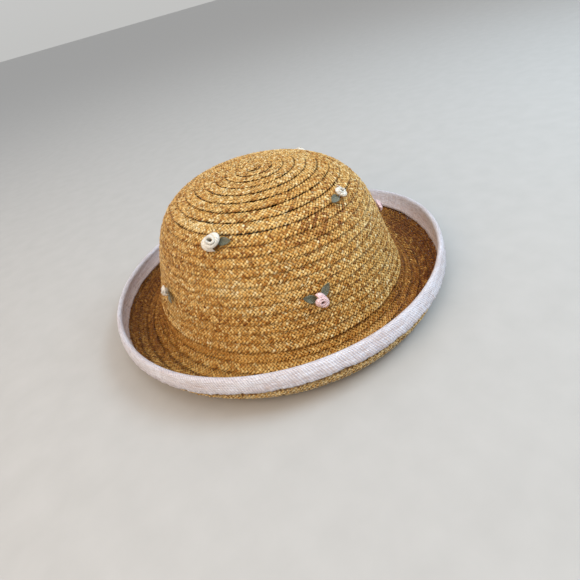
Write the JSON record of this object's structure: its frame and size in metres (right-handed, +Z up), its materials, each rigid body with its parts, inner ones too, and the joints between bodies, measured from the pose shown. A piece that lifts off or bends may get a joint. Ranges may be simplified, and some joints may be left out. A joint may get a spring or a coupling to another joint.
{
  "type": "rolled-brim straw boater hat",
  "caption": "Round-crowned plaited straw hat with an upturned rolled brim, a folded ribbon binding on its edge and small ribbon roses with green leaves sewn round the crown.",
  "frame": {"origin": "on the surface the hat rests on, under the middle of the whole hat", "axes": "+Z up through the crown, -Y towards the hat's front, +X to the hat's left as worn, so to the right of someone who looks at its front"},
  "size_m": [0.2377, 0.2393, 0.0851],
  "materials": {
    "plaited_straw": "golden plaited straw braid, overlapping rows sewn in a spiral, each strand slightly glossy",
    "satin_ribbon": "pale pink-lilac satin ribbon with fine cross ribs, eased and puckered round the edge",
    "white_ribbon": "cream white satin ribbon, rolled into small roses",
    "pink_ribbon": "pale pink satin ribbon, rolled into small roses",
    "green_ribbon": "dull grey-green satin ribbon, folded into leaves"
  },
  "bodies": {
    "root": {"crown": "plaited_straw", "brim": "plaited_straw", "brim_binding": "satin_ribbon", "rose_1": "white_ribbon", "rose_2": "white_ribbon", "rose_3": "white_ribbon", "rose_4": "white_ribbon", "rose_5": "pink_ribbon", "rose_6": "pink_ribbon", "rose_7": "pink_ribbon", "leaf_1": "green_ribbon", "leaf_2": "green_ribbon", "leaf_3": "green_ribbon", "leaf_4": "green_ribbon", "leaf_5": "green_ribbon", "leaf_5_second": "green_ribbon", "leaf_6": "green_ribbon", "leaf_7": "green_ribbon"}
  },
  "joints": []
}
